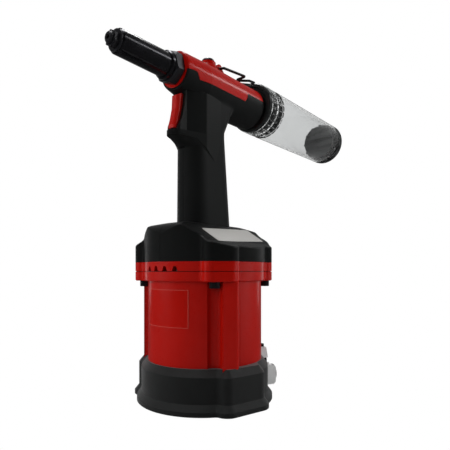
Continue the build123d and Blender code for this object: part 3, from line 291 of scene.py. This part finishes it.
def seal_rubber():
    """Nitrile seals: smooth, black and faintly oily."""
    material, tree, shader = finish("nitrile_seal", {"IOR": 1.52})
    film = grain(tree, place(tree), 3)
    join(tree, shader, Base_Color=tint(tree, film, linear("#101011"), linear("#1C1C1D")),
         Roughness=between(tree, film, 0.28, 0.48), Normal=relief(tree, film, 0.02, 0.2))
    return material


def turned_steel(name, colour, rough, line_mm, axis):
    """Lathe-turned steel: fine tool lines round the axis, drawn coarse enough to show."""
    material, tree, shader = finish(name, {"Metallic": 1.0})
    where = place(tree)
    inputs = {"Vector": where, "Scale": per_mm(line_mm) / WAVE_RADIANS, "Distortion": 1.5, "Detail": 2.0,
              "Detail Scale": 3.0}
    lines = add(tree, "ShaderNodeTexWave", inputs, wave_type="BANDS", bands_direction=axis).outputs[1]
    cloud = grain(tree, where, 6, 3.0)
    join(tree, shader, Base_Color=tint(tree, cloud, shade(colour, 0.8), shade(colour, 1.2)),
         Roughness=between(tree, cloud, rough - 0.05, rough + 0.07), Normal=relief(tree, lines, 0.01, 0.25))
    return material


def black_oxide(name, colour):
    """Black oxide on machined steel: a thin oily conversion coat that hides most of the metal's shine."""
    material, tree, shader = finish(name, {"Metallic": 0.55, "IOR": 1.6})
    where = place(tree)
    oil = grain(tree, where, 4, 4.0)
    join(tree, shader, Base_Color=tint(tree, oil, shade(colour, 0.75), shade(colour, 1.3)),
         Roughness=between(tree, oil, 0.3, 0.42), Normal=relief(tree, grain(tree, where, 0.5), 0.01, 0.25))
    return material


def polished_oxide(colour):
    """Polished tube under black oxide: a deep gloss with faint turning lines along the pulling axis."""
    material, tree, shader = finish("polished_black_oxide", {"Metallic": 0.85, "IOR": 1.7, "Coat Weight": 0.2,
                                                             "Coat Roughness": 0.12})
    where = place(tree)
    inputs = {"Vector": where, "Scale": per_mm(0.9) / WAVE_RADIANS, "Distortion": 0.8}
    lines = add(tree, "ShaderNodeTexWave", inputs, wave_type="BANDS", bands_direction="X").outputs[1]
    cloud = grain(tree, where, 7, 3.0)
    join(tree, shader, Base_Color=tint(tree, cloud, shade(colour, 0.7), shade(colour, 1.1)),
         Roughness=between(tree, cloud, 0.2, 0.28), Normal=relief(tree, lines, 0.008, 0.2))
    return material


def clear_polycarbonate(colour):
    """Moulded polycarbonate tube: clear, slightly hazed by handling and the spent mandrels inside."""
    material, tree, shader = finish("clear_polycarbonate", {"IOR": 1.16, "Transmission Weight": 0.985})
    where = place(tree)
    haze = grain(tree, where, 12, 4.0)
    join(tree, shader, Base_Color=tint(tree, haze, shade(colour, 0.95), colour),
         Roughness=between(tree, haze, 0.02, 0.06), Normal=relief(tree, grain(tree, where, 9), 0.01, 0.06))
    return material


def film_edge_highlight(tree, where):
    """Mask of the painted highlight: one along the cut edges of the film, on its sides, top and bottom, and
    zero inside.
    """
    corners = [v.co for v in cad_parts["film_label"].data.vertices]
    middle = sum(corners, Vector()) / len(corners)
    across = Vector((-middle.y, middle.x, 0)).normalized()
    edges = []
    for axis in (across, Vector((0, 0, 1))):
        spread = [axis.dot(c) for c in corners]
        low, high = min(spread), max(spread)
        along = add(tree, "ShaderNodeVectorMath", {0: where, 1: axis}, operation="DOT_PRODUCT")
        off = add(tree, "ShaderNodeMath", {0: along.outputs["Value"], 1: (low + high) / 2},
                  operation="SUBTRACT").outputs[0]
        size = add(tree, "ShaderNodeMath", {0: off}, operation="ABSOLUTE").outputs[0]
        edges.append(add(tree, "ShaderNodeMath", {0: size, 1: (high - low) / 2 - FILM_EDGE_HIGHLIGHT},
                         operation="GREATER_THAN").outputs[0])
    return add(tree, "ShaderNodeMath", {0: edges[0], 1: edges[1]}, operation="MAXIMUM").outputs[0]


def clear_film(colour):
    """Clear vinyl film on the enamel: the paint's own red, under a smoother gloss, with a painted highlight
    along its cut edge.
    """
    material, tree, shader = finish("clear_vinyl_film", {"IOR": 1.46, "Specular IOR Level": 0.2})
    where = place(tree)
    ripple = grain(tree, where, 6)
    paint = tint(tree, grain(tree, where, 22), shade(colour, 0.92), shade(colour, 1.07))
    # The pale red along the cut edge is a painted highlight, where the thin edge catches the light.
    join(tree, shader, Base_Color=tint(tree, film_edge_highlight(tree, where), paint, linear("#C0524A")),
         Roughness=between(tree, ripple, 0.2, 0.26), Normal=relief(tree, ripple, 0.01, 0.15))
    return material


def vinyl_label(colour):
    """Blank white vinyl: semi-gloss, a little dulled in patches."""
    material, tree, shader = finish("white_vinyl_label", {"IOR": 1.46})
    where = place(tree)
    age = grain(tree, where, 18, 3.0)
    join(tree, shader, Base_Color=tint(tree, age, colour, shade(colour, 0.93)),
         Roughness=between(tree, age, 0.32, 0.42), Normal=relief(tree, grain(tree, where, 3), 0.01, 0.2))
    return material


def blasted_aluminium(colour):
    """Bead-blasted aluminium: an even, pale matte metal with fine dimples."""
    material, tree, shader = finish("blasted_aluminium", {"Metallic": 0.1})
    where = place(tree)
    beads = add(tree, "ShaderNodeTexVoronoi", {"Vector": where, "Scale": per_mm(0.5)}).outputs["Distance"]
    cloud = grain(tree, where, 8, 3.0)
    join(tree, shader, Base_Color=tint(tree, cloud, shade(colour, 0.9), shade(colour, 1.1)),
         Roughness=between(tree, cloud, 0.42, 0.52), Normal=relief(tree, beads, 0.03, 0.4))
    return material


def turned_brass(name, colour):
    """Turned bronze and brass: warm metal with light tool lines."""
    return turned_steel(name, colour, 0.28, 0.5, "X")


def pressed_felt():
    """Pressed felt: matte grey fibres without a shine."""
    material, tree, shader = finish("pressed_felt", {"Roughness": 0.95, "Sheen Weight": 0.3})
    fibres = grain(tree, place(tree), 0.7, 8.0)
    join(tree, shader, Base_Color=tint(tree, fibres, linear("#57534C"), linear("#A39C8F")),
         Normal=relief(tree, fibres, 0.3, 0.8))
    return material


def dress(material, *nodes):
    """Give CAD nodes a finish."""
    for name in nodes:
        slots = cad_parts[name].data.materials
        slots.clear()
        slots.append(material)


# Springs

def coil(name, axis_z, start, end, radius, wire, coils):
    """Compression spring along X with closed ends, from start to end."""
    mesh = bmesh.new()
    bmesh.ops.create_circle(mesh, segments=WIRE_SIDES, radius=wire / 2)
    turn = Matrix.Rotation(math.radians(90), 4, "X")
    spot = Matrix.Translation((start + wire / 2, 0, axis_z + radius))
    bmesh.ops.transform(mesh, matrix=spot @ turn, verts=mesh.verts)
    closed = wire * CLOSED_LEAD
    pitch = (end - start - wire - 2 * CLOSED_TURNS * closed) / coils
    last = list(mesh.edges)
    for turns, lead in ((CLOSED_TURNS, closed), (coils, pitch), (CLOSED_TURNS, closed)):
        step = (lead / COIL_STEPS, 0, 0)
        spun = bmesh.ops.spin(mesh, geom=last, cent=(0, 0, axis_z), axis=(1, 0, 0), dvec=step,
                              angle=2 * math.pi * turns, steps=round(turns * COIL_STEPS))
        last = [e for e in spun["geom_last"] if isinstance(e, bmesh.types.BMEdge)]
    bmesh.ops.remove_doubles(mesh, verts=mesh.verts, dist=wire / 1000)
    bmesh.ops.holes_fill(mesh, edges=[e for e in mesh.edges if e.is_boundary], sides=0)
    bmesh.ops.recalc_face_normals(mesh, faces=mesh.faces)
    for face in mesh.faces:
        face.smooth = len(face.verts) == 4
    return new_piece(name, mesh)


def new_piece(name, mesh):
    data = bpy.data.meshes.new(name)
    mesh.to_mesh(data)
    mesh.free()
    piece = bpy.data.objects.new(name, data)
    bpy.context.scene.collection.objects.link(piece)
    return piece


def seated_coil(node, wire, coils):
    """Coil that stands for a spring's plain CAD sleeve, in the same seat."""
    low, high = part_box(node)
    radius = (high.z - low.z) / 2 - wire / 2
    piece = coil(node + "_coil", (low.z + high.z) / 2, low.x, high.x, radius, wire, coils)
    piece.data.materials.append(turned_steel(node + "_wire", linear("#A7A9AC"), 0.3, 0.4, "X"))
    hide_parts(node)
    return piece, high


# Operators

class RIVETER_OT_castings(bpy.types.Operator):
    """Red enamel on the body casting and the air cylinder"""

    bl_idname = "riveter.castings"
    bl_label = "Castings"

    def execute(self, context):
        dress(red_enamel(context.scene.riveter_finishes.enamel), "body_casting", "air_cylinder")
        return {"FINISHED"}


class RIVETER_OT_covers(bpy.types.Operator):
    """Black mouldings: grip, skirt and plugs"""

    bl_idname = "riveter.covers"
    bl_label = "Covers"

    def execute(self, context):
        colour = context.scene.riveter_finishes.nylon
        dress(moulded_black("moulded_grip_nylon", shade(colour, 1.3), 0.46, 0.7), "grip_left", "grip_right")
        dress(moulded_black("moulded_skirt_nylon", shade(colour, 1.15), 0.42, 0.9),
              "skirt_left", "skirt_right")
        # The cap's plug gets a copy of the nylon 2.4 times lighter: painted light for what reaches it through
        # the collector, under painted reflection bands.
        dress(painted_reflection_plug(shade(colour, 2.4)), "collector_cap")
        dress(moulded_black("moulded_plug_nylon", shade(colour, 0.8), 0.3, 0.6), "feed_plug")
        # The adapter ring takes the nylon colour 2.4 times lighter: painted light, standing in for the glossy
        # light on its top and front, which sit in shadow.
        dress(moulded_black("turned_acetal", shade(colour, 2.4), 0.3, 0.5), "rear_adapter")
        return {"FINISHED"}


class RIVETER_OT_boot(bpy.types.Operator):
    """Rubber boot"""

    bl_idname = "riveter.boot"
    bl_label = "Boot"

    def execute(self, context):
        dress(boot_rubber(context.scene.riveter_finishes.rubber), "rubber_boot")
        return {"FINISHED"}


class RIVETER_OT_nose(bpy.types.Operator):
    """Nose tube, lock nut and tip"""

    bl_idname = "riveter.nose"
    bl_label = "Nose"

    def execute(self, context):
        colour = context.scene.riveter_finishes.oxide
        dress(polished_oxide(shade(colour, 1.9)), "nose_housing")
        dress(black_oxide("worn_black_oxide", shade(colour, 1.5)), "nosepiece", "lock_nut")
        dress(black_oxide("black_oxide", colour), "flange_bolts", "oil_plug", "grip_screws", "inlet_screws",
              "base_circlip")
        return {"FINISHED"}


class RIVETER_OT_collector(bpy.types.Operator):
    """Clear collector"""

    bl_idname = "riveter.collector"
    bl_label = "Collector"

    def execute(self, context):
        dress(clear_polycarbonate(context.scene.riveter_finishes.polycarbonate), "collector_bottle")
        return {"FINISHED"}


class RIVETER_OT_trigger(bpy.types.Operator):
    """Trigger and its valve"""

    bl_idname = "riveter.trigger"
    bl_label = "Trigger"

    def execute(self, context):
        dress(moulded_red(context.scene.riveter_finishes.trigger), "trigger")
        dress(turned_steel("ground_valve_stem", linear("#B9BBBE"), 0.2, 0.3, "X"), "valve_stem")
        dress(turned_brass("turned_brass_sleeve", linear("#C9A24B")), "valve_sleeve")
        return {"FINISHED"}


class RIVETER_OT_hanger(bpy.types.Operator):
    """Wire hanger"""

    bl_idname = "riveter.hanger"
    bl_label = "Hanger"

    def execute(self, context):
        dress(moulded_black("black_coated_wire", linear("#141415"), 0.3, 0.4), "hanger")
        return {"FINISHED"}


class RIVETER_OT_inlet(bpy.types.Operator):
    """Air inlet block"""

    bl_idname = "riveter.inlet"
    bl_label = "Inlet"

    def execute(self, context):
        dress(blasted_aluminium(context.scene.riveter_finishes.aluminium), "inlet_block")
        dress(turned_steel("plated_port_ring", linear("#6A6B6E"), 0.3, 0.4, "Z"), "port_ring")
        return {"FINISHED"}


class RIVETER_OT_labels(bpy.types.Operator):
    """Blank labels"""

    bl_idname = "riveter.labels"
    bl_label = "Labels"

    def execute(self, context):
        dress(clear_film(context.scene.riveter_finishes.enamel), "film_label")
        dress(vinyl_label(context.scene.riveter_finishes.label), "skirt_label")
        return {"FINISHED"}


class RIVETER_OT_pistons(bpy.types.Operator):
    """Pistons, ram, jaws and their bushes"""

    bl_idname = "riveter.pistons"
    bl_label = "Pistons"

    def execute(self, context):
        dress(turned_steel("ground_steel", linear("#BCBEC1"), 0.18, 0.5, "X"), "pull_piston", "mandrel_tube")
        dress(turned_steel("ground_ram", linear("#C3C5C8"), 0.14, 0.5, "Z"), "ram_rod")
        dress(turned_steel("plain_nut_steel", linear("#A2A4A7"), 0.32, 0.8, "Z"), "stud_nut")
        dress(turned_steel("hardened_jaw_steel", linear("#5E5F63"), 0.34, 0.6, "X"),
              "jaw_case", "jaws", "jaw_pusher")
        dress(turned_steel("turned_aluminium", linear("#C6C8CA"), 0.3, 0.9, "Z"),
              "cylinder_base", "air_piston")
        dress(turned_brass("turned_bronze_gland", linear("#B5853F")), "ram_gland")
        return {"FINISHED"}


class RIVETER_OT_seals(bpy.types.Operator):
    """Seals, gasket and felt"""

    bl_idname = "riveter.seals"
    bl_label = "Seals"

    def execute(self, context):
        dress(seal_rubber(), "base_o_ring", "air_piston_seal", "ram_seal", "pull_piston_seal", "rod_seal",
              "flange_gasket")
        dress(pressed_felt(), "muffler_felt")
        return {"FINISHED"}


class RIVETER_OT_springs(bpy.types.Operator):
    """Coiled springs in place of their plain sleeves"""

    bl_idname = "riveter.springs"
    bl_label = "Springs"

    def execute(self, context):
        size = context.scene.riveter_springs
        for node, joint, wire, coils in (
                ("return_spring", "pull_slide", size.return_wire, size.return_coils),
                ("trigger_spring", "trigger_slide", size.trigger_wire, size.trigger_coils)):
            piece, high = seated_coil(node, wire, coils)
            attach(piece, "body")
            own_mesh(piece)
        piece, _ = seated_coil("jaw_spring", size.jaw_wire, size.jaw_coils)
        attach(piece, "pull")
        return {"FINISHED"}


class RIVETER_OT_stage(bpy.types.Operator):
    """Pale floor, soft lamps and the camera"""

    bl_idname = "riveter.stage"
    bl_label = "Stage"

    def execute(self, context):
        studio = context.scene.riveter_studio
        turn = Matrix.Rotation(studio.azimuth, 4, "Z")
        floor(studio.sheen)
        room(context.scene, turn @ Vector((0, 1, 0)), studio)

        def soft(name, x, y, z, size, power):
            return lamp(name, turn @ Vector((x, y, z)), size, power)

        soft("fill_softbox", -0.50, -0.90, 0.50, (0.7, 0.7), studio.fill).visible_glossy = False
        soft("overhead_softbox", -0.10, 0.10, 0.95, (0.8, 0.18), studio.overhead)
        soft("left_softbox", -0.90, -0.10, 0.30, (0.6, 0.8), studio.left).visible_glossy = False
        soft("right_softbox", 0.90, 0.00, 0.30, (0.6, 0.8), studio.right).visible_glossy = False
        soft("left_strip", -0.80, 0.85, 0.20, (0.12, 0.8), studio.rim)
        soft("right_strip", 0.80, 0.85, 0.20, (0.12, 0.8), studio.rim)
        soft("high_strip", 0.80, 0.15, 0.83, (0.5, 0.10), studio.gleam).visible_diffuse = False
        camera(context.scene, turn, studio)
        context.scene.view_settings.view_transform = "Standard"
        return {"FINISHED"}


def looked_at(tree):
    """Share of the rays that look straight at a surface or through glass, and the rays themselves."""
    rays = add(tree, "ShaderNodeLightPath")
    inputs = {0: rays.outputs["Is Camera Ray"], 1: rays.outputs["Is Transmission Ray"]}
    return add(tree, "ShaderNodeMath", inputs, operation="MAXIMUM").outputs[0], rays


def floor(sheen):
    """White to the eye, pale as a source of bounced light, dim in reflections."""
    mesh = bmesh.new()
    bmesh.ops.create_grid(mesh, x_segments=1, y_segments=1, size=FLOOR_REACH)
    piece = new_piece("floor", mesh)
    material = bpy.data.materials.new("pale_floor")
    material.use_nodes = True
    tree = material.node_tree
    tree.nodes.clear()
    matte = add(tree, "ShaderNodeBsdfDiffuse", {"Color": linear("#C8C8C8")})
    seen, rays = looked_at(tree)
    mirrored = add(tree, "ShaderNodeMath", {0: rays.outputs["Is Glossy Ray"], 1: sheen}, operation="MULTIPLY")
    bright = add(tree, "ShaderNodeMath", {0: seen, 1: mirrored.outputs[0]}, operation="MAXIMUM")
    either = add(tree, "ShaderNodeMath", {0: seen, 1: rays.outputs["Is Glossy Ray"]}, operation="MAXIMUM")
    white = add(tree, "ShaderNodeEmission", {"Strength": bright.outputs[0]})
    mixed = add(tree, "ShaderNodeMixShader", {0: either.outputs[0], 1: matte.outputs[0], 2: white.outputs[0]})
    add(tree, "ShaderNodeOutputMaterial", {"Surface": mixed.outputs[0]})
    piece.data.materials.append(material)


def room(scene, away, studio):
    """White to the eye; as a light, dim at the camera's side and brighter at the backdrop."""
    world = bpy.data.worlds.new("room")
    world.use_nodes = True
    tree = world.node_tree
    tree.nodes.clear()
    where = add(tree, "ShaderNodeTexCoord").outputs["Generated"]
    depth = add(tree, "ShaderNodeVectorMath", {0: where, 1: away}, operation="DOT_PRODUCT").outputs["Value"]
    light = add(tree, "ShaderNodeMapRange", {0: depth, 1: -0.5, 2: 0.9, 3: studio.front, 4: studio.backdrop})
    soft = add(tree, "ShaderNodeBackground", {"Color": (1, 1, 1, 1), "Strength": light.outputs[0]})
    white = add(tree, "ShaderNodeBackground", {"Color": (1, 1, 1, 1), "Strength": 1.0})
    mixed = add(tree, "ShaderNodeMixShader", {0: looked_at(tree)[0], 1: soft.outputs[0], 2: white.outputs[0]})
    add(tree, "ShaderNodeOutputWorld", {"Surface": mixed.outputs[0]})
    scene.world = world


def lamp(name, spot, size, power):
    """Soft rectangular lamp that points at the middle of the tool and doesn't show through the collector."""
    data = bpy.data.lights.new(name, "AREA")
    data.shape = "RECTANGLE"
    data.size, data.size_y = size
    data.energy = power
    piece = bpy.data.objects.new(name, data)
    piece.visible_transmission = False
    low, high = CAD_BOX
    aim = (low + high) / 2 - spot
    piece.matrix_world = Matrix.Translation(spot) @ aim.to_track_quat("-Z", "Y").to_matrix().to_4x4()
    bpy.context.scene.collection.objects.link(piece)
    return piece


def camera(scene, turn, studio):
    data = bpy.data.cameras.new("camera")
    data.lens = studio.lens
    data.sensor_width = SENSOR_WIDTH
    data.shift_y = studio.rise
    data.clip_start = NEAREST_SEEN
    piece = bpy.data.objects.new("camera", data)
    piece.matrix_world = (turn @ Matrix.Translation((studio.aside, -studio.distance, studio.height))
                          @ Matrix.Rotation(math.radians(90), 4, "X"))
    scene.collection.objects.link(piece)
    scene.camera = piece


OPERATORS = (RIVETER_OT_castings, RIVETER_OT_covers, RIVETER_OT_boot, RIVETER_OT_nose, RIVETER_OT_collector,
             RIVETER_OT_trigger, RIVETER_OT_hanger, RIVETER_OT_inlet, RIVETER_OT_labels, RIVETER_OT_pistons,
             RIVETER_OT_seals, RIVETER_OT_springs, RIVETER_OT_stage)


class RIVETER_PT_sidebar(bpy.types.Panel):
    """Riveter's settings and steps"""

    bl_label = "Riveter"
    bl_idname = "RIVETER_PT_sidebar"
    bl_space_type = "VIEW_3D"
    bl_region_type = "UI"
    bl_category = "Riveter"

    def draw(self, context):
        for operator in OPERATORS:
            self.layout.operator(operator.bl_idname)
        scene = context.scene
        for group in (scene.riveter_finishes, scene.riveter_springs, scene.riveter_studio):
            for name in group.bl_rna.properties.keys():
                if name not in ("rna_type", "name"):
                    self.layout.prop(group, name)


CLASSES = (RiveterFinishes, RiveterSprings, RiveterStudio, *OPERATORS, RIVETER_PT_sidebar)


def register():
    for cls in CLASSES:
        bpy.utils.register_class(cls)
    bpy.types.Scene.riveter_finishes = bpy.props.PointerProperty(type=RiveterFinishes)
    bpy.types.Scene.riveter_springs = bpy.props.PointerProperty(type=RiveterSprings)
    bpy.types.Scene.riveter_studio = bpy.props.PointerProperty(type=RiveterStudio)


def unregister():
    del bpy.types.Scene.riveter_studio
    del bpy.types.Scene.riveter_springs
    del bpy.types.Scene.riveter_finishes
    for cls in reversed(CLASSES):
        bpy.utils.unregister_class(cls)


def main():
    register()
    for operator in OPERATORS:
        group, name = operator.bl_idname.split(".")
        getattr(getattr(bpy.ops, group), name)()


if __name__ == "__main__":
    main()
